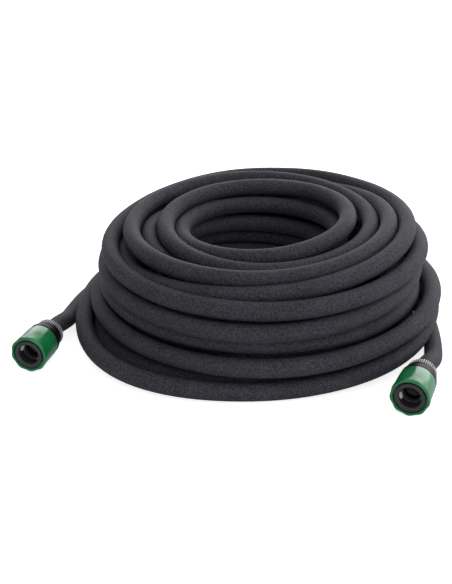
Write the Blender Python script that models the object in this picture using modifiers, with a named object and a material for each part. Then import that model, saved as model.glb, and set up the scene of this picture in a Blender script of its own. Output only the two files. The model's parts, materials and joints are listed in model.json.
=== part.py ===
"""Soaker hose: a porous rubber hose wound into a coil, with a push-on water connector on each end.

Metres, +Z up, on the floor at z = 0. Sizes below are in millimetres and degrees.
A connector is drawn standing up: its mouth at z = 0 and the hose leaving it upwards.
An empty at the mouth then lays it down and turns it to its place beside the coil.
"""
import math

import bmesh
import bpy
from mathutils import Matrix, Vector
from mathutils.geometry import interpolate_bezier

MM = 0.001

# ---------------------------------------------------------------- driving dimensions

GAP = 0.3                       # between pieces that touch
SLIDE_GAP = 0.4                 # between pieces that slide on each other

# Hose and coil
HOSE_DIAMETER = 18.0
HOSE_BORE = 13.0
COIL_CENTRE = (23.57, 10.31)
COIL_DIAMETER = 386.0
COIL_EYE_DIAMETER = 160.0
COIL_HEIGHT = 120.0
COIL_OVERHANG = 12.7            # how far the coil's belly reaches out over its lowest turns
TAIL_CLEARANCE = 0.8            # under the belly, above the tails

# Push-on connector: body
FLOOR_CLEARANCE = 0.1           # under the release sleeve
BORE_DIAMETER = 20.4
BORE_CHAMFER = 1.0
BARREL_DIAMETER = 23.0
NOSE_LENGTH = 3.4
NOSE_CATCH = 0.9                # how far the nose ring overlaps the sleeve's rib
SEAL_BORE_DIAMETER = 17.6
SEAL_BORE_DEPTH = 22.0
WATERWAY_DIAMETER = 9.2
WATERWAY_TAPER = 2.6
FLANGE_LENGTH = 2.6
NECK_DIAMETER = 23.8
NECK_LENGTH = 13.4
STEM_ROOT_DIAMETER = 11.8
STEM_LENGTH = 16.0
BARB_PITCH = 4.4
BARB_COUNT = 3
RECESS_DEPTH = 8.0              # how far the hose reaches into the neck
EDGE = 0.5                      # small chamfers

# Jaws that hold the tap adapter
JAW_LENGTH = 4.6
JAW_WIDTH = 6.4
JAW_TRAVEL = 1.4
JAW_WINDOW_WALL = 1.2           # body left in front of and behind each window

# Seal ring
SEAL_WIRE = 2.3
SEAL_STAND_PROUD = 0.75
SEAL_WALL = 1.2                 # between the bore's shoulder and the seal

# Release sleeve and its grip ring
SLEEVE_DIAMETER = 37.4
SLEEVE_REAR_DIAMETER = 35.0
SLEEVE_LENGTH = 30.0
SLEEVE_BORE = 29.0
SLEEVE_SKIRT_BORE = 31.2
SLEEVE_TRAVEL = 6.0
SLEEVE_WAIST = 0.8              # behind the rim the sleeve is this much thinner
RIM_CHAMFER = 1.7
RIM_LOBES = 9
RIM_LOBE_DEPTH = 0.45
RIM_LOBE_LENGTH = 10.0
RING_JOINT = 0.1                # between the sleeve and its grip ring
RING_LENGTH = 6.2
RING_STEP = 0.4                 # the ring stands this far inside the sleeve's outside

# Return spring
SPRING_WIRE = 1.2
SPRING_TURNS = 4.0

# Hose nut and its collet
NUT_DIAMETER = 29.6
NUT_COLLAR_LENGTH = 8.0
NUT_RIBS = 30
NUT_RIB_DEPTH = 0.6
NUT_RIB_STEP = 0.25             # the ribs stand this far inside the collar
NUT_TAIL_DIAMETER = 26.4
NUT_TAIL_CHAMFER = 1.2
NUT_LENGTH = 15.4
NUT_LIP_LENGTH = 2.4
NUT_LIP_CLEARANCE = 0.5         # round the hose
COLLET_INSET = 0.2              # the collet's front is this much smaller than the neck
COLLET_TAPER = 1.1
COLLET_SLOT = 1.8

# Where each connector lies: its mouth by its angle round the coil and its distance outside the
# lowest turns, then the bearing of its axis and the roll of its jaws
CONNECTORS = {
    "left": {"mouth": (209.43, 75.74), "bearing": 75.0, "roll": 25.8},
    "right": {"mouth": (302.67, 65.14), "bearing": 67.0, "roll": -10.8},
}
TAIL_STRAIGHT = 9.0             # the hose leaves the nut straight for this far
# Route of each tail behind its straight start, down to the floor and beside the lowest turns:
# angle round the coil, distance of the hose's middle outside the turns, height
TAILS = {
    "left": [(192.7, 26.0, 15.3), (187.7, 20.5, 10.2), (181.8, 15.4, 9.1), (174.0, 10.4, 9.1)],
    "right": [(321.2, 31.9, 15.3), (326.0, 27.2, 10.2), (332.5, 19.2, 9.1), (342.7, 9.4, 9.1)],
}
TAIL_STRETCH_POINTS = 6         # on each stretch between route points

# ---------------------------------------------------------------- derived sizes

bore = BORE_DIAMETER / 2
barrel = BARREL_DIAMETER / 2
seal_bore = SEAL_BORE_DIAMETER / 2
sleeve_bore = SLEEVE_BORE / 2
neck = NECK_DIAMETER / 2
hose = HOSE_DIAMETER / 2
coil_foot = COIL_DIAMETER / 2 - COIL_OVERHANG
nut_outer = NUT_DIAMETER / 2

window_front = NOSE_LENGTH + JAW_WINDOW_WALL
window_rear = window_front + JAW_LENGTH + 2 * GAP
rib_front = NOSE_LENGTH + SLIDE_GAP
rib_rear = window_rear + JAW_WINDOW_WALL
cone_slope = JAW_TRAVEL / SLEEVE_TRAVEL
cone_rear_radius = barrel + SLIDE_GAP
cone_front_radius = cone_rear_radius + cone_slope * (window_rear - rib_front)
nose = cone_front_radius + NOSE_CATCH
shoulder = rib_rear             # the bore narrows here to the seal's bore

seal_section = SEAL_WIRE / 2
seal_radius = seal_bore + seal_section - SEAL_STAND_PROUD
seal_groove = seal_radius + seal_section + GAP
seal_place = shoulder + SEAL_WIRE + SEAL_WALL
flange = sleeve_bore - GAP
flange_rear = SLEEVE_LENGTH - SLIDE_GAP
flange_front = flange_rear - FLANGE_LENGTH
neck_end = flange_rear + NECK_LENGTH
recess_floor = neck_end - RECESS_DEPTH
recess = hose + SLIDE_GAP
stem_tip = recess_floor + STEM_LENGTH
barb = HOSE_BORE / 2 - GAP
axis_height = SLEEVE_DIAMETER / 2 + FLOOR_CLEARANCE

ring_front = SLEEVE_LENGTH + RING_JOINT
ring_rear = ring_front + RING_LENGTH
nut_front = ring_rear + GAP
nut_rear = nut_front + NUT_LENGTH   # from the mouth
thread = neck + GAP
collet_front = neck_end + GAP
collet_rear = nut_rear - NUT_LIP_LENGTH - GAP
collet_front_radius = neck - COLLET_INSET
collet_rear_radius = collet_front_radius - COLLET_TAPER
nut_lip = hose + NUT_LIP_CLEARANCE
nut_rib = nut_outer - NUT_RIB_STEP
tail_start = nut_rear + GAP


# ---------------------------------------------------------------- helpers

def clear_scene():
    for thing in list(bpy.data.objects):
        bpy.data.objects.remove(thing, do_unlink=True)


def new_collection(name):
    collection = bpy.data.collections.new(name)
    bpy.context.scene.collection.children.link(collection)
    return collection


def material(name, colour, roughness, metallic=0.0):
    """A Principled material with the piece's colour, roughness and metallic value."""
    made = bpy.data.materials.new(name)
    made.use_nodes = True
    shader = made.node_tree.nodes["Principled BSDF"]
    shader.inputs["Base Color"].default_value = (*colour, 1.0)
    shader.inputs["Roughness"].default_value = roughness
    shader.inputs["Metallic"].default_value = metallic
    return made


def add_object(name, data, collection, finish=None, parent=None):
    made = bpy.data.objects.new(name, data)
    collection.objects.link(made)
    made.parent = parent
    if finish is not None:
        data.materials.append(finish)
    return made


def profile_mesh(name, profile):
    """A closed outline of (radius, height) in the XZ plane, down its outer side first."""
    mesh = bpy.data.meshes.new(name)
    points = [(radius * MM, 0.0, height * MM) for radius, height in profile]
    edges = [(i, (i + 1) % len(points)) for i in range(len(points))]
    mesh.from_pydata(points, edges, [])
    return mesh


def turned(name, profile, steps, collection, finish=None, parent=None):
    """A turned piece: the outline swept round Z by a Screw modifier."""
    made = add_object(name, profile_mesh(name, profile), collection, finish, parent)
    screw = made.modifiers.new("turn", "SCREW")
    screw.axis = "Z"
    screw.steps = steps
    screw.render_steps = steps
    screw.use_merge_vertices = True
    screw.merge_threshold = 0.00001
    screw.use_smooth_shade = True
    return made


def turn_to_mesh(made):
    """Give the object the mesh that its modifiers make, as a plain mesh."""
    bpy.context.view_layer.update()
    graph = bpy.context.evaluated_depsgraph_get()
    mesh = bpy.data.meshes.new_from_object(made.evaluated_get(graph))
    made.modifiers.clear()
    made.data = mesh
    return made


def cutter_box(name, size, centre, collection, parent, turn=0.0):
    """A box used only for cutting, turned about the piece's axis."""
    bpy.ops.mesh.primitive_cube_add(size=1.0)
    made = bpy.context.object
    made.name = name
    for old in list(made.users_collection):
        old.objects.unlink(made)
    collection.objects.link(made)
    shape = Matrix.Diagonal((size[0] * MM, size[1] * MM, size[2] * MM, 1.0))
    place = Matrix.Translation(Vector(centre) * MM)
    made.data.transform(Matrix.Rotation(turn, 4, "Z") @ place @ shape)
    made.parent = parent
    made.hide_render = True
    made.display_type = "WIRE"
    return made


def boolean(made, cutter, operation="DIFFERENCE"):
    change = made.modifiers.new(operation.lower(), "BOOLEAN")
    change.operation = operation
    change.solver = "EXACT"
    change.object = cutter
    return change


def hide_cutter(made):
    made.hide_render = True
    made.display_type = "WIRE"
    return made


def tube_curve(name, points, radius, sides_level, collection, finish, parent=None):
    """A round bar along a list of points, with closed ends."""
    curve = bpy.data.curves.new(name, "CURVE")
    curve.dimensions = "3D"
    curve.bevel_depth = radius * MM
    curve.bevel_resolution = sides_level
    curve.use_fill_caps = True
    spline = curve.splines.new("POLY")
    spline.points.add(len(points) - 1)
    for spot, point in zip(spline.points, points):
        spot.co = (*point, 1.0)
    return add_object(name, curve, collection, finish, parent)


def smooth_route(points, samples):
    """Points on a smooth curve through a cord's route points, by Bezier stretches."""
    spots = [Vector(point) for point in points]
    slopes = []
    for i, spot in enumerate(spots):
        before = spots[max(i - 1, 0)]
        after = spots[min(i + 1, len(spots) - 1)]
        slopes.append((after - before).normalized())
    route = [spots[0]]
    for i in range(len(spots) - 1):
        reach = (spots[i + 1] - spots[i]).length / 3
        handle_out = spots[i] + slopes[i] * reach
        handle_in = spots[i + 1] - slopes[i + 1] * reach
        stretch = interpolate_bezier(spots[i], handle_out, handle_in, spots[i + 1], samples + 1)
        route.extend(stretch[1:])
    return route


# ---------------------------------------------------------------- coil and tails

def coil_profile():
    """Outline of the wound turns: a foot inside the tails, a belly over them and a sloping crown."""
    belly = COIL_DIAMETER / 2
    eye = COIL_EYE_DIAMETER / 2
    over_tail = HOSE_DIAMETER + TAIL_CLEARANCE
    top = COIL_HEIGHT
    turn = HOSE_DIAMETER
    outside = [
        (belly - 2.4 * turn, top),
        (belly - 1.6 * turn, top - 0.3 * turn),
        (belly - 0.9 * turn, top - 1.2 * turn),
        (belly - 0.5 * turn, top - 2.5 * turn),
        (belly - 0.15 * turn, top - 3.9 * turn),
        (belly, over_tail + 0.6 * turn),
        (belly - 0.15 * turn, over_tail),
        (coil_foot, over_tail),
        (coil_foot, 0.25 * turn),
        (coil_foot - 0.25 * turn, 0.0),
    ]
    inside = [
        (eye + 0.5 * turn, 0.0),
        (eye, 0.5 * turn),
        (eye, top - 3.4 * turn),
        (eye + 0.3 * turn, top - 2.0 * turn),
        (eye + 1.0 * turn, top - 1.1 * turn),
        (eye + 2.2 * turn, top - 0.4 * turn),
    ]
    return outside + inside


def make_coil(collection, rubber):
    coil = turned("hose_coil", coil_profile(), 64, collection, rubber)
    coil.location = (COIL_CENTRE[0] * MM, COIL_CENTRE[1] * MM, 0.0)
    return coil


def beside_coil(angle, out, height):
    """A point beside the coil, by its angle and its distance outside the lowest turns, in millimetres."""
    reach = coil_foot + out
    east = COIL_CENTRE[0] + reach * math.cos(math.radians(angle))
    north = COIL_CENTRE[1] + reach * math.sin(math.radians(angle))
    return Vector((east, north, height))


def along_axis(place, distance):
    """A point on a connector's axis, at a distance behind its mouth, in millimetres."""
    bearing = math.radians(place["bearing"])
    back = Vector((math.cos(bearing), math.sin(bearing), 0.0))
    return beside_coil(*place["mouth"], axis_height) + back * distance


def make_tail(side, collection, rubber):
    """The hose from the nut's rear face down to the floor and along to the lowest turns."""
    place = CONNECTORS[side]
    start = along_axis(place, tail_start)
    bend = [along_axis(place, tail_start + TAIL_STRAIGHT)]
    bend += [beside_coil(*point) for point in TAILS[side]]
    route = [start] + smooth_route(bend, TAIL_STRETCH_POINTS)
    points = [tuple(point * MM) for point in route]
    return tube_curve(side + "_hose_tail", points, hose, 4, collection, rubber)


# ---------------------------------------------------------------- connector pieces

def body_profile():
    """Nose ring, barrel, spring flange, threaded neck, hose recess and barbed stem in one outline."""
    outside = [
        (neck - EDGE, neck_end),
        (neck, neck_end - EDGE),
        (neck, flange_rear),
        (flange, flange_rear),
        (flange, flange_front),
        (barrel, flange_front),
        (barrel, NOSE_LENGTH),
        (nose, NOSE_LENGTH),
        (nose, EDGE),
        (nose - EDGE, 0.0),
    ]
    groove_half = seal_section + GAP
    waterway = WATERWAY_DIAMETER / 2
    inside = [
        (bore + BORE_CHAMFER, 0.0),
        (bore, BORE_CHAMFER),
        (bore, shoulder),
        (seal_bore, shoulder + EDGE),
        (seal_bore, seal_place - groove_half),
        (seal_groove, seal_place - groove_half),
        (seal_groove, seal_place + groove_half),
        (seal_bore, seal_place + groove_half),
        (seal_bore, SEAL_BORE_DEPTH),
        (waterway, SEAL_BORE_DEPTH + WATERWAY_TAPER),
        (waterway, stem_tip),
    ]
    root = STEM_ROOT_DIAMETER / 2
    stem = [(root - EDGE, stem_tip)]
    for number in range(BARB_COUNT):
        crest = stem_tip - EDGE - (number + 1) * BARB_PITCH
        stem.append((barb, crest))
        stem.append((root, crest - EDGE))
    stem.append((root, recess_floor))
    cup = [(recess, recess_floor), (recess, neck_end)]
    return outside + inside + stem + cup


def make_body(side, collection, cutters, finish, mount):
    body = turned(side + "_body", body_profile(), 30, collection, finish, mount)
    length = window_rear - window_front
    centre = (0.0, 0.0, (window_front + window_rear) / 2)
    size = (2 * (nose + 1.0), JAW_WIDTH + 2 * GAP, length)
    boolean(body, cutter_box(side + "_window_cutter", size, centre, cutters, mount))
    return body


def make_jaw(side, letter, turn, collection, cutters, finish, mount):
    """A claw whose back follows the sleeve's cone and whose tip reaches into the bore."""
    front = window_front + GAP
    rear = front + JAW_LENGTH
    tip = bore - JAW_TRAVEL
    back_front = cone_front_radius - cone_slope * (front - rib_front) - GAP
    back_rear = cone_front_radius - cone_slope * (rear - rib_front) - GAP
    ramp = JAW_LENGTH / 3
    outline = [(back_rear, rear), (back_front, front), (tip + JAW_TRAVEL / 2, front),
               (tip, front + ramp), (tip, rear)]
    name = side + "_jaw_" + letter
    jaw = turned(name, outline, 72, collection, finish, mount)
    size = (2 * nose, JAW_WIDTH, 3 * JAW_LENGTH)
    centre = (nose, 0.0, (front + rear) / 2)
    slice_box = cutter_box(name + "_cutter", size, centre, cutters, mount, turn)
    boolean(jaw, slice_box, "INTERSECT")
    return jaw


def make_seal(side, collection, finish, mount):
    count = 8
    ring = []
    for number in range(count):
        angle = math.pi / 2 - 2 * math.pi * number / count
        ring.append((seal_radius + seal_section * math.cos(angle),
                     seal_place + seal_section * math.sin(angle)))
    return turned(side + "_seal", ring, 32, collection, finish, mount)


def sleeve_profile():
    """Outer skin, front skirt round the nose ring and the inner rib whose cone holds the jaws in."""
    front = SLEEVE_DIAMETER / 2
    rear = SLEEVE_REAR_DIAMETER / 2
    skirt = SLEEVE_SKIRT_BORE / 2
    waist = front - SLEEVE_WAIST
    return [
        (rear - EDGE, SLEEVE_LENGTH),
        (rear, SLEEVE_LENGTH - EDGE),
        (waist, RIM_LOBE_LENGTH),
        (front, RIM_CHAMFER),
        (front - EDGE, 0.0),
        (skirt + EDGE, 0.0),
        (skirt, EDGE),
        (skirt, rib_front),
        (cone_front_radius, rib_front),
        (cone_rear_radius, window_rear),
        (cone_rear_radius, rib_rear),
        (sleeve_bore, rib_rear),
        (sleeve_bore, SLEEVE_LENGTH),
    ]


def press_lobes(mesh, outer_than):
    """Press shallow flats between the lobes of the rim, fading out behind it."""
    for vertex in mesh.vertices:
        radius = math.hypot(vertex.co.x, vertex.co.y) / MM
        height = vertex.co.z / MM
        if radius > outer_than and height < RIM_LOBE_LENGTH - EDGE:
            angle = math.atan2(vertex.co.y, vertex.co.x)
            dip = RIM_LOBE_DEPTH * (1 - math.cos(RIM_LOBES * angle))
            vertex.co.x *= (radius - dip) / radius
            vertex.co.y *= (radius - dip) / radius


def make_sleeve(side, collection, finish, mount):
    sleeve = turned(side + "_sleeve", sleeve_profile(), 4 * RIM_LOBES, collection, finish, mount)
    turn_to_mesh(sleeve)
    press_lobes(sleeve.data, SLEEVE_SKIRT_BORE / 2 + 2 * EDGE)
    return sleeve


def make_sleeve_ring(side, collection, finish, mount):
    outer = SLEEVE_REAR_DIAMETER / 2 - RING_STEP
    inner = nut_outer + SLIDE_GAP
    outline = [(outer - EDGE, ring_rear), (outer, ring_rear - EDGE), (outer, ring_front),
               (inner, ring_front), (inner, ring_rear)]
    return turned(side + "_sleeve_ring", outline, 36, collection, finish, mount)


def make_spring(side, collection, finish, mount):
    """A coil spring between the sleeve's rib and the body's flange."""
    wire = SPRING_WIRE / 2
    radius = (barrel + sleeve_bore) / 2
    start = rib_rear + GAP + wire
    end = flange_front - GAP - wire
    per_turn = 10
    count = int(SPRING_TURNS * per_turn)
    points = []
    for number in range(count + 1):
        angle = 2 * math.pi * number / per_turn
        height = start + (end - start) * number / count
        points.append((radius * math.cos(angle) * MM, radius * math.sin(angle) * MM, height * MM))
    return tube_curve(side + "_spring", points, wire, 2, collection, finish, mount)


def nut_profile():
    """Threaded bore, cone over the collet and a rear lip round the hose."""
    rear = NUT_TAIL_DIAMETER / 2
    cone_front = collet_front_radius + GAP
    cone_rear = collet_rear_radius + GAP
    lip_front = nut_rear - NUT_LIP_LENGTH
    return [
        (rear, nut_rear),
        (nut_rib, nut_rear - NUT_TAIL_CHAMFER),
        (nut_rib, nut_front + NUT_COLLAR_LENGTH),
        (nut_outer, nut_front + NUT_COLLAR_LENGTH - EDGE),
        (nut_outer, nut_front + EDGE),
        (nut_outer - EDGE, nut_front),
        (thread, nut_front),
        (thread, neck_end + GAP),
        (cone_front, neck_end + GAP),
        (cone_rear, lip_front),
        (nut_lip, lip_front),
        (nut_lip, nut_rear),
    ]


def rib_cutter(name, collection, mount):
    """All the grooves between the nut's ribs, as one loose group of thin boxes."""
    shape = bmesh.new()
    length = nut_rear - nut_front - NUT_COLLAR_LENGTH
    middle = nut_rear - length / 2 + EDGE
    width = math.pi * NUT_DIAMETER / NUT_RIBS / 2
    depth = NUT_RIB_DEPTH + 2.0
    for number in range(NUT_RIBS):
        turn = Matrix.Rotation(2 * math.pi * number / NUT_RIBS, 4, "Z")
        reach = nut_rib - NUT_RIB_DEPTH + depth / 2
        place = Matrix.Translation(Vector((reach, 0.0, middle)) * MM)
        size = Matrix.Diagonal((depth * MM, width * MM, length * MM, 1.0))
        bmesh.ops.create_cube(shape, size=1.0, matrix=turn @ place @ size)
    mesh = bpy.data.meshes.new(name)
    shape.to_mesh(mesh)
    shape.free()
    return hide_cutter(add_object(name, mesh, collection, None, mount))


def make_nut(side, collection, cutters, finish, mount):
    nut = turned(side + "_nut", nut_profile(), NUT_RIBS, collection, finish, mount)
    boolean(nut, rib_cutter(side + "_rib_cutter", cutters, mount))
    return nut


def make_collet(side, collection, cutters, finish, mount):
    """A split cone that the nut squeezes onto the hose."""
    inner = hose + GAP
    outline = [(collet_rear_radius, collet_rear), (collet_front_radius, collet_front),
               (inner, collet_front), (inner, collet_rear)]
    collet = turned(side + "_collet", outline, 36, collection, finish, mount)
    length = collet_rear - collet_front
    size = (2 * neck, COLLET_SLOT, length + 2.0)
    centre = (neck, 0.0, (collet_front + collet_rear) / 2)
    boolean(collet, cutter_box(side + "_slot_cutter", size, centre, cutters, mount))
    return collet


def make_hose_end(side, collection, rubber, mount):
    """The end of the hose, pushed over the barbed stem."""
    start = recess_floor + GAP
    outline = [(hose, nut_rear), (hose, start), (HOSE_BORE / 2, start), (HOSE_BORE / 2, nut_rear)]
    return turned(side + "_hose_end", outline, 36, collection, rubber, mount)


def make_mount(side, collection):
    """An empty at the connector's mouth, its Z along the connector's axis and its X along the jaws."""
    place = CONNECTORS[side]
    mount = bpy.data.objects.new(side + "_connector", None)
    collection.objects.link(mount)
    bearing = math.radians(place["bearing"])
    lie_down = Matrix.Rotation(bearing + math.pi / 2, 4, "Z") @ Matrix.Rotation(math.pi / 2, 4, "X")
    roll = Matrix.Rotation(math.radians(place["roll"]), 4, "Z")
    spot = along_axis(place, 0.0) * MM
    mount.matrix_world = Matrix.Translation(spot) @ lie_down @ roll
    return mount


def main():
    clear_scene()
    parts = new_collection("soaker_hose")
    cutters = new_collection("cutters")
    rubber = material("porous_rubber", (0.045, 0.045, 0.050), 0.85)
    grey = material("grey_abs", (0.075, 0.073, 0.080), 0.45)
    green = material("green_abs", (0.012, 0.235, 0.085), 0.25)
    black = material("black_abs", (0.012, 0.012, 0.013), 0.40)
    acetal = material("grey_acetal", (0.55, 0.57, 0.58), 0.35)
    steel = material("spring_steel", (0.55, 0.55, 0.56), 0.30, 1.0)
    seal_rubber = material("seal_rubber", (0.010, 0.010, 0.010), 0.60)
    make_coil(parts, rubber)
    for side in CONNECTORS:
        mount = make_mount(side, parts)
        make_tail(side, parts, rubber)
        make_body(side, parts, cutters, grey, mount)
        make_jaw(side, "a", 0.0, parts, cutters, acetal, mount)
        make_jaw(side, "b", math.pi, parts, cutters, acetal, mount)
        make_seal(side, parts, seal_rubber, mount)
        make_sleeve(side, parts, green, mount)
        make_sleeve_ring(side, parts, black, mount)
        make_spring(side, parts, steel, mount)
        make_nut(side, parts, cutters, black, mount)
        make_collet(side, parts, cutters, acetal, mount)
        make_hose_end(side, parts, rubber, mount)


main()
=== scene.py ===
"""The looks of a coiled soaker hose: one long porous hose and a push-on connector on each end.

Sizes are in millimetres unless a name says otherwise. The frame is in metres.
"""
import json
import math

import bmesh
import bpy
import numpy as np
from mathutils import Matrix, Vector


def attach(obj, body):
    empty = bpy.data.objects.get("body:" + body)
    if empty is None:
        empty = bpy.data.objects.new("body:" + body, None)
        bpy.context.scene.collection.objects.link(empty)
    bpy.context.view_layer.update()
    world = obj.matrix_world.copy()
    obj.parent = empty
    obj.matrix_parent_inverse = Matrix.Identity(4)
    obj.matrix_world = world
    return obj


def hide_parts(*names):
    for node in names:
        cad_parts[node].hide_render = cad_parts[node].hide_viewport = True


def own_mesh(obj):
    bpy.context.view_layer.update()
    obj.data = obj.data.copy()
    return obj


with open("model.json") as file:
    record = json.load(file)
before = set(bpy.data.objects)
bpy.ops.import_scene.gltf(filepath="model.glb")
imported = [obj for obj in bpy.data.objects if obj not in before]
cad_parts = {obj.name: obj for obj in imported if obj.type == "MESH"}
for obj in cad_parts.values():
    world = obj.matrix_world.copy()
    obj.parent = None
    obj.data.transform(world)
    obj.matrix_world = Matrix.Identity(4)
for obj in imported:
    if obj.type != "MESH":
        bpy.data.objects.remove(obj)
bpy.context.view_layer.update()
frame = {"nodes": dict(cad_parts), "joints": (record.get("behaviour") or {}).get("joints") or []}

MM = 0.001

# ---------------------------------------------------------------- the hose and its coil

HOSE_DIAMETER = 18.0
HOSE_RADIUS = HOSE_DIAMETER / 2
HOSE_STEP = 10.0                 # between points of the hose's middle line
HOSE_ROUNDNESS = 8               # Blender's bevel resolution for 20 sides
COIL_CENTRE = (23.57, 10.31, 0.0)
COIL_FOOT_RADIUS = 180.3
NUT_REAR = 52.0                  # from a connector's mouth to where the hose leaves it
TAIL_GAP = 0.05                  # between the nut and the hose's end
TAIL_STRAIGHT = 9.0              # the hose leaves the nut straight for this far

# The two tails, by angle round the coil, distance outside its lowest turns, and height
TAILS = {
    "left": [(192.7, 26.0, 15.3), (187.7, 20.5, 10.2), (181.8, 15.4, 9.1), (174.0, 10.4, 9.1)],
    "right": [(321.2, 31.9, 15.3), (326.0, 27.2, 10.2), (332.5, 19.2, 9.1), (342.7, 9.4, 9.1)],
}

# Seats of the hose, clockwise from above, each (radius, height). A row is one turn from the right
# side: right, front, left and back, with the half places between them where a row has eight.
# The lead-in is less than a turn, so its seats give their angle as well.
LEAD_IN = [(235, 186.5, 9), (270, 184, 9), (315, 186, 17)]
OUTER_TURNS = [
    [(187, 27), (186, 18), (178, 9), (197.5, 14.2), (178, 25), (172, 27), (183, 38), (186, 42)],
    [(188, 45), (178, 33), (166, 37), (160, 46)],
    [(165, 48), (162, 49), (157, 54), (162, 64)],
    [(165, 76), (171, 65), (157, 70), (170, 78)],
]
BURIED_TURNS = [
    [(151, 73), (152, 56), (144, 46), (142, 43)],
    [(141, 42), (138, 42), (132, 42), (126, 42)],
    [(123, 42), (120, 43), (114, 46), (112, 54)],
]
# One turn that shows only on the left, between the rings of the top
GLIMPSED_TURNS = [
    [(112, 60), (112, 76), (112, 96), (120, 84)],
]
RISING_TURNS = [
    [(150, 91), (138, 66), (142, 72), (152, 84)],
]
INNER_TURNS = [
    [(170.5, 93), (167, 88), (165, 84.5), (157, 86), (151, 91), (147, 99), (154, 109), (158, 113)],
    [(157, 113), (147, 92), (140, 80), (144, 99)],
    [(138.5, 114), (132, 101), (130, 104), (131, 114)],
    [(120, 110), (109, 99), (94, 108), (96, 115.5)],
    [(96, 118), (89, 105), (78, 99), (86, 98)],
    [(88, 97), (88, 87), (86, 81), (85, 76)],
    [(88, 73), (92, 68), (95, 65), (93, 59)],
    [(91, 54), (90, 50), (90, 46), (90, 41)],
    [(90, 36), (90, 32), (90, 27), (89, 22)],
]
# The lowest layer winds outwards on the floor, from the eye to the right tail
FLOOR_TURNS = 5
FLOOR_FROM = 88.0
FLOOR_TO = 181.0

# The route between the seats
SEAT_STEP = 2.0                  # degrees between points of the coil
TAIL_STEP = 3.0                  # between points of the tails
JOIN_POINTS = 12                 # this many points at the coil's ends are led into the tails,
JOIN_STRIDE = 4                  # by way of every fourth one

# Settling of the wound hose
SETTLE_ROUNDS = 160
SETTLE_SEARCH = 8.0              # how much further apart than a diameter neighbours are looked for
SETTLE_SEARCH_EVERY = 8          # rounds
OWN_STRETCH = 5                  # points this near along the hose don't push each other
PUSH = 1.5                       # share of an overlap that is pushed apart in a round
SEEN_FREEDOM = 0.35              # turns that the photograph shows give way less,
SEEN_PULL_BACK = 0.06            # and go back to their seats by this share in a round
SINK = 0.12                      # the hidden turns sink this far in a round
STIFFNESS = 0.5
HELD_AT_LEFT = 14                # points that stay, at the ends towards the connectors
HELD_AT_RIGHT = 22

# ---------------------------------------------------------------- connectors

GAP = 0.3                        # between pieces that touch
ROUND_STEPS = 144                # sides of a full turn
PIVOT = 45.0                     # from the mouth to the point that the nut's joint names
SLEEVE_RADIUS = 18.7
SLEEVE_REAR_RADIUS = 17.5
SLEEVE_LENGTH = 30.0
SLEEVE_WAIST = 0.8               # behind the rim the sleeve is this much thinner
SLEEVE_BORE_RADIUS = 14.5
SKIRT_RADIUS = 15.6
RIM_CHAMFER = 1.7
RIM_LOBES = 9
RIM_LOBE_DEPTH = 0.45
RIM_LOBE_LENGTH = 10.0
RIM_LOBE_STEPS = 16              # sides on each lobe
RIB_FRONT = 3.8                  # the sleeve's inner rib, whose cone holds the jaws in
RIB_REAR = 11.0
CONE_FRONT_RADIUS = 13.3
CONE_REAR_RADIUS = 11.9
CONE_REAR = 9.8
RING_JOINT = 0.1                 # between the sleeve and its grip ring
RING_LENGTH = 6.2
RING_STEP = 0.4                  # the ring stands this far inside the sleeve's outside
RING_BORE_RADIUS = 15.2
NUT_FRONT = 36.6
NUT_RADIUS = 14.8
NUT_COLLAR_LENGTH = 8.0
NUT_RIB_STEP = 0.25              # the ribs stand this far inside the collar
NUT_TAIL_RADIUS = 13.2
NUT_TAIL_CHAMFER = 1.2
NUT_RIBS = 44
NUT_RIB_DEPTH = 0.7
NUT_RIB_STEPS = 6                # sides on each rib
NUT_RIB_FLANK = 1.2              # how steep the ribs' flanks are
THREAD_RADIUS = 12.2
THREAD_END = 43.3
COLLET_CONE_FRONT_RADIUS = 12.0
COLLET_CONE_REAR_RADIUS = 10.9
LIP_FRONT = 49.6
LIP_RADIUS = 9.5
SPRING_RADIUS = 13.0
SPRING_WIRE_RADIUS = 0.6
SPRING_TURNS = 4
SPRING_STEPS = 32                # on each turn
FLANGE_FRONT = 27.0

# ---------------------------------------------------------------- studio

# The photograph's viewpoint, fitted to the edges of the turns
CAMERA_PLACE = (-0.00763, -0.93179, 0.4626)
CAMERA_TILT = 24.76              # degrees below level
CAMERA_LENS = 58.97
CAMERA_SENSOR = 36.0
FLOOR_HALF_WIDTH = 5.0
AIM = (0.0, 0.0, 0.05)           # the lamp's target, at the coil's middle
ROOM_LEFT = 0.3                  # the room's brightness from the left and from the right
ROOM_RIGHT = 1.2


# ---------------------------------------------------------------- materials

def linear(code):
    """An sRGB hex colour as linear values."""
    values = [int(code[i:i + 2], 16) / 255 for i in (1, 3, 5)]
    bent = [v / 12.92 if v <= 0.04045 else ((v + 0.055) / 1.055) ** 2.4 for v in values]
    return (*bent, 1.0)


def add_node(tree, kind, settings=None, links=None):
    """A new node with its settings, by property or socket name, and links into its sockets."""
    node = tree.nodes.new(kind)
    for name, value in (settings or {}).items():
        if isinstance(name, str) and hasattr(node, name):
            setattr(node, name, value)
        else:
            node.inputs[name].default_value = value
    for name, source in (links or {}).items():
        tree.links.new(source, node.inputs[name])
    return node


def new_material(name):
    """A material with its node tree and its shader."""
    made = bpy.data.materials.new(name)
    made.use_nodes = True
    tree = made.node_tree
    return made, tree, tree.nodes["Principled BSDF"]


def ramp(tree, source, stops):
    """A colour ramp over a value, with stops of (place, hex colour)."""
    node = add_node(tree, "ShaderNodeValToRGB", links={"Fac": source})
    while len(node.color_ramp.elements) < len(stops):
        node.color_ramp.elements.new(0.5)
    for element, (place, code) in zip(node.color_ramp.elements, stops):
        element.position = place
        element.color = linear(code)
    return node


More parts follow.
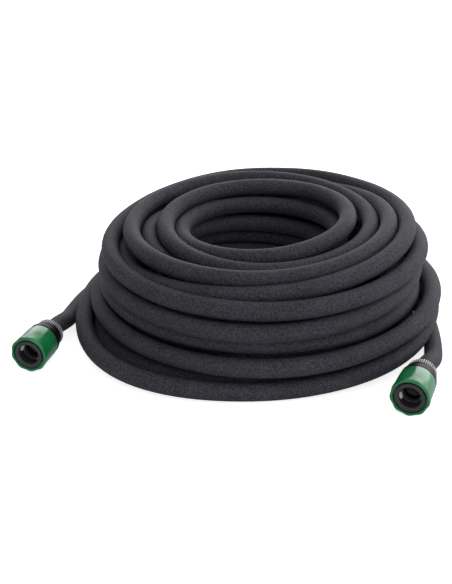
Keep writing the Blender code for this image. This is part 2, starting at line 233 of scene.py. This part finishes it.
def extruded_crumb_rubber():
    """Porous rubber, extruded from tyre crumb: matt charcoal, a rough skin of fused grains."""
    made, tree, shader = new_material("extruded_crumb_rubber")
    place = add_node(tree, "ShaderNodeTexCoord").outputs["Object"]
    # Grains of about 0.6 mm, drawn at 1.3 mm so that they show in the picture
    crumb = add_node(tree, "ShaderNodeTexVoronoi", {"Scale": 1000 / 1.3}, {"Vector": place})
    grain = add_node(tree, "ShaderNodeTexNoise", {"Scale": 1000 / 1.8, "Detail": 3.0,
                                                 "Roughness": 0.6}, {"Vector": place})
    # Slow changes of tone along the hose, where the skin has rubbed or bloomed
    bloom = add_node(tree, "ShaderNodeTexNoise", {"Scale": 1000 / 45, "Detail": 2.0}, {"Vector": place})
    bloom = add_node(tree, "ShaderNodeMath", {"operation": "MULTIPLY_ADD", 1: 0.5, 2: -0.38},
                     {0: bloom.outputs["Fac"]})
    tone = add_node(tree, "ShaderNodeMath", {"operation": "MULTIPLY_ADD", 1: 1.5},
                    {0: grain.outputs["Fac"], 2: bloom.outputs[0]})
    colour = ramp(tree, tone.outputs[0], [(0.3, "#2b2b30"), (0.62, "#37373f"), (0.95, "#484853")])
    tree.links.new(colour.outputs["Color"], shader.inputs["Base Color"])
    rough = add_node(tree, "ShaderNodeMapRange", {"From Min": 0.3, "From Max": 0.7, "To Min": 0.5,
                                                 "To Max": 0.85}, {"Value": grain.outputs["Fac"]})
    tree.links.new(rough.outputs[0], shader.inputs["Roughness"])
    grains = add_node(tree, "ShaderNodeBump", {"Strength": 0.9, "Distance": 0.5 * MM},
                      {"Height": crumb.outputs["Distance"]})
    skin = add_node(tree, "ShaderNodeBump", {"Strength": 1.0, "Distance": 0.9 * MM},
                    {"Height": grain.outputs["Fac"], "Normal": grains.outputs["Normal"]})
    tree.links.new(skin.outputs["Normal"], shader.inputs["Normal"])
    # Only the grains' crowns shine
    shine = add_node(tree, "ShaderNodeMapRange", {"From Min": 0.35, "From Max": 0.65, "To Min": 0.1,
                                                 "To Max": 0.55}, {"Value": grain.outputs["Fac"]})
    tree.links.new(shine.outputs[0], shader.inputs["Specular IOR Level"])
    shader.inputs["IOR"].default_value = 1.5
    return made


def moulded_plastic(name, stops, roughness, grain_mm, grain_depth, ior=1.53, shine=0.5):
    """Injection-moulded plastic: even colour with a faint flow pattern and a little tool texture."""
    made, tree, shader = new_material(name)
    place = add_node(tree, "ShaderNodeTexCoord").outputs["Object"]
    flow = add_node(tree, "ShaderNodeTexNoise", {"Scale": 1000 / 18, "Detail": 2.0,
                                                "Distortion": 0.6}, {"Vector": place})
    colour = ramp(tree, flow.outputs["Fac"], stops)
    tree.links.new(colour.outputs["Color"], shader.inputs["Base Color"])
    texture = add_node(tree, "ShaderNodeTexNoise", {"Scale": 1000 / grain_mm, "Detail": 3.0},
                       {"Vector": place})
    rough = add_node(tree, "ShaderNodeMapRange", {"From Min": 0.3, "From Max": 0.7,
                                                 "To Min": roughness * 0.85, "To Max": roughness * 1.2},
                     {"Value": texture.outputs["Fac"]})
    tree.links.new(rough.outputs[0], shader.inputs["Roughness"])
    bump = add_node(tree, "ShaderNodeBump", {"Strength": 0.4, "Distance": grain_depth * MM},
                    {"Height": texture.outputs["Fac"]})
    tree.links.new(bump.outputs["Normal"], shader.inputs["Normal"])
    shader.inputs["IOR"].default_value = ior
    shader.inputs["Specular IOR Level"].default_value = shine
    return made


def add_painted_highlight(made, code, roughness):
    """A painted highlight on the ribs' crests: a paler colour, and a smoother surface, where the mesh's
    crest value is 1.
    """
    tree = made.node_tree
    shader = tree.nodes["Principled BSDF"]
    painted_highlight = add_node(tree, "ShaderNodeAttribute", {"attribute_name": "painted_highlight"})
    for name, value in (("Base Color", linear(code)), ("Roughness", roughness)):
        plain = shader.inputs[name].links[0].from_socket
        kind = "RGBA" if name == "Base Color" else "FLOAT"
        mix = add_node(tree, "ShaderNodeMix", {"data_type": kind})
        ends = [socket for socket in mix.inputs if socket.enabled and socket.name in ("A", "B")]
        tree.links.new(painted_highlight.outputs["Fac"], mix.inputs["Factor"])
        tree.links.new(plain, ends[0])
        ends[1].default_value = value
        result = [socket for socket in mix.outputs if socket.enabled][0]
        tree.links.new(result, shader.inputs[name])
    return made


def drawn_spring_steel():
    """Zinc-plated spring wire, drawn: grey metal with fine scratches along the wire."""
    made, tree, shader = new_material("drawn_spring_steel")
    place = add_node(tree, "ShaderNodeTexCoord").outputs["Object"]
    scratch = add_node(tree, "ShaderNodeTexNoise", {"Scale": 1000 / 0.8, "Detail": 3.0},
                       {"Vector": place})
    colour = ramp(tree, scratch.outputs["Fac"], [(0.3, "#9c9ca0"), (0.7, "#c4c4c6")])
    tree.links.new(colour.outputs["Color"], shader.inputs["Base Color"])
    shader.inputs["Metallic"].default_value = 1.0
    shader.inputs["Roughness"].default_value = 0.28
    return made


def make_materials():
    """One material for each slot."""
    return {
        "porous_rubber": extruded_crumb_rubber(),
        # Green ABS from a polished mould: deep green, glossy, with soft wide reflections
        "green_abs": moulded_plastic("moulded_green_abs", [(0.3, "#16703f"), (0.7, "#1e874e")],
                                     roughness=0.20, grain_mm=4.0, grain_depth=0.05),
        # Grey ABS from a spark-eroded mould: satin, slightly purple
        "grey_abs": moulded_plastic("moulded_grey_abs", [(0.3, "#2a282d"), (0.7, "#322f35")],
                                    roughness=0.45, grain_mm=0.7, grain_depth=0.04),
        # Black ABS: satin black, with a painted highlight, a paler colour, on the ribs' crests
        "black_abs": add_painted_highlight(moulded_plastic("moulded_black_abs", [(0.3, "#0a0a0c"), (0.7, "#111113")],
                                              roughness=0.40, grain_mm=0.9, grain_depth=0.04,
                                              ior=1.5, shine=0.25), "#c4c4ca", 0.25),
        # Acetal, the slippery plastic of small moving pieces: waxy light grey
        "grey_acetal": moulded_plastic("moulded_grey_acetal", [(0.3, "#e2e6e7"), (0.7, "#eef0f0")],
                                       roughness=0.30, grain_mm=1.2, grain_depth=0.02, ior=1.48),
        "spring_steel": drawn_spring_steel(),
        # Nitrile seal rubber: smooth black with a slight sheen
        "seal_rubber": moulded_plastic("moulded_seal_rubber", [(0.3, "#0b0b0b"), (0.7, "#121212")],
                                       roughness=0.50, grain_mm=1.0, grain_depth=0.03, ior=1.5),
    }


# ---------------------------------------------------------------- the hose's route

def beside_coil(angle, out, height):
    """A point beside the coil, from its centre, by its angle and distance outside the lowest turns."""
    reach = COIL_FOOT_RADIUS + out
    return (reach * math.cos(math.radians(angle)), reach * math.sin(math.radians(angle)), height)


def seats():
    """The wound part's seats: (clockwise angle, radius, height, 1 where it is seen)."""
    rows = [(angle - 360.0, radius, height, 1) for angle, radius, height in LEAD_IN]
    angle = 0.0
    for turns, seen in ((OUTER_TURNS, 1), (BURIED_TURNS, 0), (GLIMPSED_TURNS, 1),
                        (RISING_TURNS, 0), (INNER_TURNS, 1)):
        for turn in turns:
            for number, (radius, height) in enumerate(turn):
                rows.append((angle + number * 360.0 / len(turn), radius, height, seen))
            angle += 360.0
    quarters = FLOOR_TURNS * 4
    for number in range(quarters + 1):
        radius = FLOOR_FROM + (FLOOR_TO - FLOOR_FROM) * number / quarters
        seen = 1 if number == quarters else 0
        rows.append((angle + number * 90.0, radius, HOSE_RADIUS, seen))
    return np.array(rows)


def smooth_through(places, values, wanted):
    """A smooth curve through values at places, read at the wanted places."""
    gap = np.diff(places)
    slope = np.diff(values, axis=0) / gap[:, None]
    slopes = np.empty_like(values)
    slopes[0] = slope[0]
    slopes[-1] = slope[-1]
    inner = slope[:-1] * gap[1:, None] + slope[1:] * gap[:-1, None]
    slopes[1:-1] = inner / (gap[1:] + gap[:-1])[:, None]
    spot = np.clip(np.searchsorted(places, wanted, side="right") - 1, 0, len(places) - 2)
    t = ((wanted - places[spot]) / gap[spot])[:, None]
    reach = gap[spot][:, None]
    start = (2 * t**3 - 3 * t**2 + 1) * values[spot] + (t**3 - 2 * t**2 + t) * reach * slopes[spot]
    end = (3 * t**2 - 2 * t**3) * values[spot + 1] + (t**3 - t**2) * reach * slopes[spot + 1]
    return start + end


def lengths_along(points):
    """How far along the path each point lies."""
    return np.concatenate([[0.0], np.cumsum(np.linalg.norm(np.diff(points, axis=0), axis=1))])


def smooth_path(points):
    """A smooth curve through points, given by many more."""
    places = lengths_along(points)
    return smooth_through(places, points, np.arange(0.0, places[-1], TAIL_STEP))


def even_steps(points, seen):
    """The same path with points a step apart."""
    places = lengths_along(points)
    wanted = np.linspace(0.0, places[-1], int(round(places[-1] / HOSE_STEP)) + 1)
    columns = [np.interp(wanted, places, points[:, i]) for i in range(3)]
    return np.stack(columns, axis=1), np.interp(wanted, places, seen)


def tail_points(side):
    """From the nut, straight back, down to the floor and along to the coil, from the coil's centre."""
    place = connector_place(side)
    centre = Vector(COIL_CENTRE)
    straight = [place @ Vector((0.0, 0.0, NUT_REAR + d)) / MM - centre for d in (TAIL_GAP, TAIL_STRAIGHT)]
    bend = [beside_coil(*point) for point in TAILS[side]]
    return np.array([tuple(point) for point in straight] + bend)


def wound_route():
    """The whole hose before it settles: left tail, coil from the outside in, floor layer, right tail."""
    rows = seats()
    angles = np.arange(rows[1, 0], rows[-1, 0] + 0.01, SEAT_STEP)
    values = smooth_through(rows[:, 0], rows[:, 1:3].copy(), angles)
    seen = np.interp(angles, rows[:, 0], rows[:, 3])
    turn = -np.radians(angles)
    coil = np.stack([values[:, 0] * np.cos(turn), values[:, 0] * np.sin(turn), values[:, 1]], axis=1)
    first = -math.radians(rows[0, 0])
    lead = [(rows[0, 1] * math.cos(first), rows[0, 1] * math.sin(first), rows[0, 2])]
    left = smooth_path(np.concatenate([tail_points("left"), lead, coil[:JOIN_POINTS:JOIN_STRIDE]]))
    right_tail = tail_points("right")[::-1]
    right = smooth_path(np.concatenate([coil[-JOIN_POINTS::JOIN_STRIDE], right_tail]))
    inner = slice(JOIN_POINTS, -JOIN_POINTS)
    route = np.concatenate([left, coil[inner], right, right_tail[-1:]])
    marks = np.concatenate([np.ones(len(left)), seen[inner], np.ones(len(right) + 1)])
    return even_steps(route, marks)


def settle(route, seen):
    """Let the turns push each other a diameter apart and sink, stiff as a hose, on the floor."""
    points = route.copy()
    order = np.arange(len(points))
    freedom = np.where(seen > 0.5, SEEN_FREEDOM, 1.0)
    pull_back = np.where(seen > 0.5, SEEN_PULL_BACK, 0.0)
    held = (order < HELD_AT_LEFT) | (order >= len(points) - HELD_AT_RIGHT)
    freedom[held] = 0.0
    pull_back[held] = 0.0
    for number in range(SETTLE_ROUNDS):
        if number % SETTLE_SEARCH_EVERY == 0:
            squares = (points**2).sum(axis=1)
            apart = squares[:, None] + squares[None] - 2 * points @ points.T
            close = apart < (HOSE_DIAMETER + SETTLE_SEARCH) ** 2
            one, other = np.nonzero(close & (order[None, :] - order[:, None] > OWN_STRETCH))
        between = points[one] - points[other]
        distance = np.linalg.norm(between, axis=1) + 1e-9
        hit = distance < HOSE_DIAMETER
        first, second = one[hit], other[hit]
        share = freedom[first] + freedom[second] + 1e-9
        push = between[hit] * (0.5 * (HOSE_DIAMETER - distance[hit]) / distance[hit] / share)[:, None]
        moved = np.zeros_like(points)
        count = np.zeros(len(points))
        np.add.at(moved, first, push * freedom[first][:, None])
        np.add.at(moved, second, -push * freedom[second][:, None])
        np.add.at(count, first, 1)
        np.add.at(count, second, 1)
        points += moved / np.maximum(count, 1)[:, None] * PUSH
        points += (route - points) * pull_back[:, None]
        points[:, 2] -= np.where(seen > 0.5, 0.0, SINK)
        bend = np.zeros_like(points)
        bend[1:-1] = 0.5 * (points[:-2] + points[2:]) - points[1:-1]
        change = np.zeros_like(points)
        change[1:-1] = 0.5 * (bend[:-2] + bend[2:]) - bend[1:-1]
        points -= change * STIFFNESS
        points[:, 2] = np.maximum(points[:, 2], HOSE_RADIUS)
        points[held] = route[held]
    return points


def make_hose(materials):
    """The hose in one piece, and the point where it leaves the left connector."""
    route, seen = wound_route()
    points = (settle(route, seen) + np.array(COIL_CENTRE)) * MM
    curve = bpy.data.curves.new("hose", "CURVE")
    curve.dimensions = "3D"
    curve.bevel_depth = HOSE_RADIUS * MM
    curve.bevel_resolution = HOSE_ROUNDNESS
    curve.use_fill_caps = True
    spline = curve.splines.new("POLY")
    spline.points.add(len(points) - 1)
    for spot, point in zip(spline.points, points):
        spot.co = (*point, 1.0)
    hose = bpy.data.objects.new("hose", curve)
    bpy.context.scene.collection.objects.link(hose)
    finish(hose, materials, "porous_rubber", "hose", "hose_coil", "left_hose_tail", "right_hose_tail")
    return hose, Vector(points[0])


# ---------------------------------------------------------------- connector pieces

def connector_place(side):
    """From a connector drawn standing on its mouth, in millimetres, to where it lies in the frame."""
    joints = {joint["name"]: joint for joint in frame["joints"]}
    nut_turn = joints[side + "_nut_turn"]
    axis = Vector(nut_turn["axis"]).normalized()
    across = Vector(joints[side + "_jaw_a_slide"]["axis"]).normalized()
    up = axis.cross(across)
    mouth = Vector(nut_turn["pos_m"]) - axis * PIVOT * MM
    turn = Matrix((across, up, axis)).transposed().to_4x4()
    return Matrix.Translation(mouth) @ turn @ Matrix.Scale(MM, 4)


def finish(piece, materials, slot, body, *nodes):
    """Give a piece its material, the body that carries it and the CAD nodes that it stands for."""
    piece.data.materials.append(materials[slot])
    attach(piece, body)
    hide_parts(*nodes)
    return piece


def outline_shape(corners, rounds):
    """A closed outline of (radius, height) corners, each rounded by its own radius."""
    shape = bmesh.new()
    spots = [shape.verts.new((radius, 0.0, height)) for radius, height in corners]
    for number, spot in enumerate(spots):
        shape.edges.new((spots[number - 1], spot))
    sizes = {}
    for spot, size in zip(spots, rounds):
        if size:
            sizes.setdefault(size, []).append(spot)
    for size, group in sizes.items():
        bmesh.ops.bevel(shape, geom=group, offset=size, segments=3, profile=0.5,
                        affect="VERTICES", material=-1)
    return shape


def spin_outline(shape, steps):
    """Turn an outline once round the connector's axis."""
    bmesh.ops.spin(shape, geom=shape.verts[:] + shape.edges[:], cent=(0, 0, 0), axis=(0, 0, 1),
                   dvec=(0, 0, 0), angle=2 * math.pi, steps=steps, use_merge=True)


def piece_from(shape, name, place, sharp_degrees=35):
    """A finished piece, its faces turned outwards, from a bmesh drawn on a standing connector."""
    shape.normal_update()
    bmesh.ops.recalc_face_normals(shape, faces=shape.faces[:])
    shape.transform(place)
    shape.normal_update()
    mesh = bpy.data.meshes.new(name)
    shape.to_mesh(mesh)
    shape.free()
    mesh.shade_smooth()
    mesh.set_sharp_from_angle(angle=math.radians(sharp_degrees))
    piece = bpy.data.objects.new(name, mesh)
    bpy.context.scene.collection.objects.link(piece)
    return piece


def make_sleeve(side, place, materials):
    """The release sleeve: a soft-edged tube whose rim has shallow flats for the fingers."""
    corners = [
        (SLEEVE_REAR_RADIUS, SLEEVE_LENGTH),
        (SLEEVE_RADIUS - SLEEVE_WAIST, RIM_LOBE_LENGTH),
        (SLEEVE_RADIUS, RIM_CHAMFER),
        (SLEEVE_RADIUS - RIM_CHAMFER / 3, 0.0),
        (SKIRT_RADIUS, 0.0),
        (SKIRT_RADIUS, RIB_FRONT),
        (CONE_FRONT_RADIUS, RIB_FRONT),
        (CONE_REAR_RADIUS, CONE_REAR),
        (CONE_REAR_RADIUS, RIB_REAR),
        (SLEEVE_BORE_RADIUS, RIB_REAR),
        (SLEEVE_BORE_RADIUS, SLEEVE_LENGTH),
    ]
    shape = outline_shape(corners, [0.5, 4.0, 0.8, 0.5, 0.8, 0, 0.2, 0.2, 0.2, 0.2, 0.3])
    spin_outline(shape, RIM_LOBE_STEPS * RIM_LOBES)
    for spot in shape.verts:
        radius = math.hypot(spot.co.x, spot.co.y)
        if radius > SKIRT_RADIUS + 1.0 and spot.co.z < RIM_LOBE_LENGTH:
            fade = 1 - spot.co.z / RIM_LOBE_LENGTH
            angle = math.atan2(spot.co.y, spot.co.x)
            dip = RIM_LOBE_DEPTH * fade * (1 - math.cos(RIM_LOBES * angle))
            spot.co.x *= (radius - dip) / radius
            spot.co.y *= (radius - dip) / radius
    sleeve = piece_from(shape, side + "_release_sleeve", place)
    return finish(sleeve, materials, "green_abs", side + "_release", side + "_sleeve")


def make_ring(side, place, materials):
    """The grip ring, pressed onto the sleeve's rear end."""
    outer = SLEEVE_REAR_RADIUS - RING_STEP
    front = SLEEVE_LENGTH + RING_JOINT
    rear = front + RING_LENGTH
    corners = [(outer, rear), (outer, front), (RING_BORE_RADIUS, front), (RING_BORE_RADIUS, rear)]
    shape = outline_shape(corners, [0.8, 0.3, 0.3, 0.4])
    spin_outline(shape, ROUND_STEPS)
    ring = piece_from(shape, side + "_grip_ring", place)
    return finish(ring, materials, "black_abs", side + "_release", side + "_sleeve_ring")


def make_nut(side, place, materials):
    """The hose nut: a smooth collar, then fine ribs that taper in towards the hose."""
    rib_start = NUT_FRONT + NUT_COLLAR_LENGTH
    rib_radius = NUT_RADIUS - NUT_RIB_STEP
    corners = [
        (NUT_TAIL_RADIUS, NUT_REAR),
        (rib_radius, NUT_REAR - NUT_TAIL_CHAMFER),
        (rib_radius, rib_start),
        (NUT_RADIUS, rib_start - NUT_RIB_STEP),
        (NUT_RADIUS, NUT_FRONT),
        (THREAD_RADIUS, NUT_FRONT),
        (THREAD_RADIUS, THREAD_END),
        (COLLET_CONE_FRONT_RADIUS, THREAD_END),
        (COLLET_CONE_REAR_RADIUS, LIP_FRONT),
        (LIP_RADIUS, LIP_FRONT),
        (LIP_RADIUS, NUT_REAR),
    ]
    shape = outline_shape(corners, [0.3, 0.4, 0, 0.1, 0.6, 0.3, 0, 0, 0, 0.2, 0.3])
    spin_outline(shape, NUT_RIB_STEPS * NUT_RIBS)
    # The ribs' crests carry 1 and the grooves 0, for the painted highlight of paler colour on the crests
    painted_highlight = shape.verts.layers.float.new("painted_highlight")
    for spot in shape.verts:
        radius = math.hypot(spot.co.x, spot.co.y)
        if radius > THREAD_RADIUS + NUT_RIB_STEP and spot.co.z > rib_start - NUT_RIB_STEP / 2:
            angle = math.atan2(spot.co.y, spot.co.x)
            groove = min(1.0, max(0.0, 0.5 - NUT_RIB_FLANK * math.cos(NUT_RIBS * angle)))
            spot[painted_highlight] = 1.0 - groove
            spot.co.x *= 1 - groove * NUT_RIB_DEPTH / radius
            spot.co.y *= 1 - groove * NUT_RIB_DEPTH / radius
    nut = piece_from(shape, side + "_hose_nut", place, 30)
    return finish(nut, materials, "black_abs", side + "_clamp_nut", side + "_nut")


def make_spring(side, place, materials):
    """The return spring between the sleeve's rib and the body's flange."""
    start = RIB_REAR + GAP + SPRING_WIRE_RADIUS
    end = FLANGE_FRONT - GAP - SPRING_WIRE_RADIUS
    steps = SPRING_TURNS * SPRING_STEPS
    shape = bmesh.new()
    bmesh.ops.create_circle(shape, cap_ends=True, segments=10, radius=SPRING_WIRE_RADIUS)
    shape.transform(Matrix.Translation((SPRING_RADIUS, 0, start)) @ Matrix.Rotation(math.pi / 2, 4, "X"))
    bmesh.ops.spin(shape, geom=shape.faces[:], cent=(0, 0, 0), axis=(0, 0, 1),
                   dvec=(0, 0, (end - start) / steps), angle=2 * math.pi * SPRING_TURNS, steps=steps)
    spring = piece_from(shape, side + "_return_spring", place)
    finish(spring, materials, "spring_steel", "hose", side + "_spring")
    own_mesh(spring)
    return spring


def dress_cad_nodes(side, materials):
    """The CAD pieces whose shape is right as it is get their full materials."""
    finishes = {"body": "grey_abs", "jaw_a": "grey_acetal", "jaw_b": "grey_acetal",
                "seal": "seal_rubber", "collet": "grey_acetal", "hose_end": "porous_rubber"}
    for piece, slot in finishes.items():
        node = frame["nodes"][side + "_" + piece]
        for socket in node.material_slots:
            socket.material = materials[slot]


def make_connector(side, materials):
    """All the pieces of one connector that the scene makes itself, round the dressed CAD nodes."""
    place = connector_place(side)
    dress_cad_nodes(side, materials)
    return [make_sleeve(side, place, materials), make_ring(side, place, materials),
            make_nut(side, place, materials), make_spring(side, place, materials)]


# ---------------------------------------------------------------- camera, floor and light

def make_camera():
    """The camera at the photograph's viewpoint: 0.93 m in front and 0.46 m up."""
    data = bpy.data.cameras.new("camera")
    data.sensor_width = CAMERA_SENSOR
    data.lens = CAMERA_LENS
    camera = bpy.data.objects.new("camera", data)
    camera.location = CAMERA_PLACE
    camera.rotation_euler = (math.radians(90 - CAMERA_TILT), 0.0, 0.0)
    bpy.context.scene.collection.objects.link(camera)
    bpy.context.scene.camera = camera


def paper_floor():
    """White background paper: a little brighter to the camera, and it keeps the shadow."""
    made, tree, shader = new_material("white_paper")
    shader.inputs["Base Color"].default_value = linear("#f4f4f4")
    shader.inputs["Roughness"].default_value = 0.9
    path = add_node(tree, "ShaderNodeLightPath")
    glow = add_node(tree, "ShaderNodeMath", {"operation": "MULTIPLY", 1: 0.8},
                    {0: path.outputs["Is Camera Ray"]})
    shader.inputs["Emission Color"].default_value = (1.0, 1.0, 1.0, 1.0)
    tree.links.new(glow.outputs[0], shader.inputs["Emission Strength"])
    return made


def make_floor():
    """The flat paper that the coil lies on."""
    shape = bmesh.new()
    bmesh.ops.create_grid(shape, x_segments=1, y_segments=1, size=FLOOR_HALF_WIDTH)
    mesh = bpy.data.meshes.new("floor")
    shape.to_mesh(mesh)
    shape.free()
    mesh.materials.append(paper_floor())
    floor = bpy.data.objects.new("floor", mesh)
    bpy.context.scene.collection.objects.link(floor)


def soft_box(name, place, size, power):
    """A rectangular soft box, (wide, high), that faces the coil."""
    data = bpy.data.lights.new(name, "AREA")
    data.shape = "RECTANGLE"
    data.size, data.size_y = size
    data.energy = power
    lamp = bpy.data.objects.new(name, data)
    lamp.location = place
    lamp.rotation_mode = "QUATERNION"
    lamp.rotation_quaternion = (Vector(AIM) - Vector(place)).to_track_quat("-Z", "Y")
    bpy.context.scene.collection.objects.link(lamp)


def light_studio():
    """One soft box behind the coil, in a plain white room."""
    # The wide low box behind gives the sleeves their pale sides and the rings their bright tops
    soft_box("rear_box", (0.55, 2.05, 0.7), (3.6, 1.2), 30.0)
    world = bpy.data.worlds.new("studio")
    world.use_nodes = True
    bpy.context.scene.world = world
    tree = world.node_tree
    background = tree.nodes["Background"]
    # The room is brighter on the right, and plain white to the camera
    direction = add_node(tree, "ShaderNodeTexCoord").outputs["Generated"]
    across = add_node(tree, "ShaderNodeSeparateXYZ", links={"Vector": direction}).outputs["X"]
    room = add_node(tree, "ShaderNodeMapRange", {"From Min": -1.0, "To Min": ROOM_LEFT,
                                                "To Max": ROOM_RIGHT}, {"Value": across})
    path = add_node(tree, "ShaderNodeLightPath")
    level = add_node(tree, "ShaderNodeMath", {"operation": "MAXIMUM"},
                     {0: path.outputs["Is Camera Ray"], 1: room.outputs[0]})
    background.inputs["Color"].default_value = (1.0, 1.0, 1.0, 1.0)
    tree.links.new(level.outputs[0], background.inputs["Strength"])
    bpy.context.scene.view_settings.view_transform = "Standard"


def main():
    make_camera()
    materials = make_materials()
    hose, start = make_hose(materials)
    pieces = {side: make_connector(side, materials) for side in ("left", "right")}
    make_floor()
    light_studio()


main()
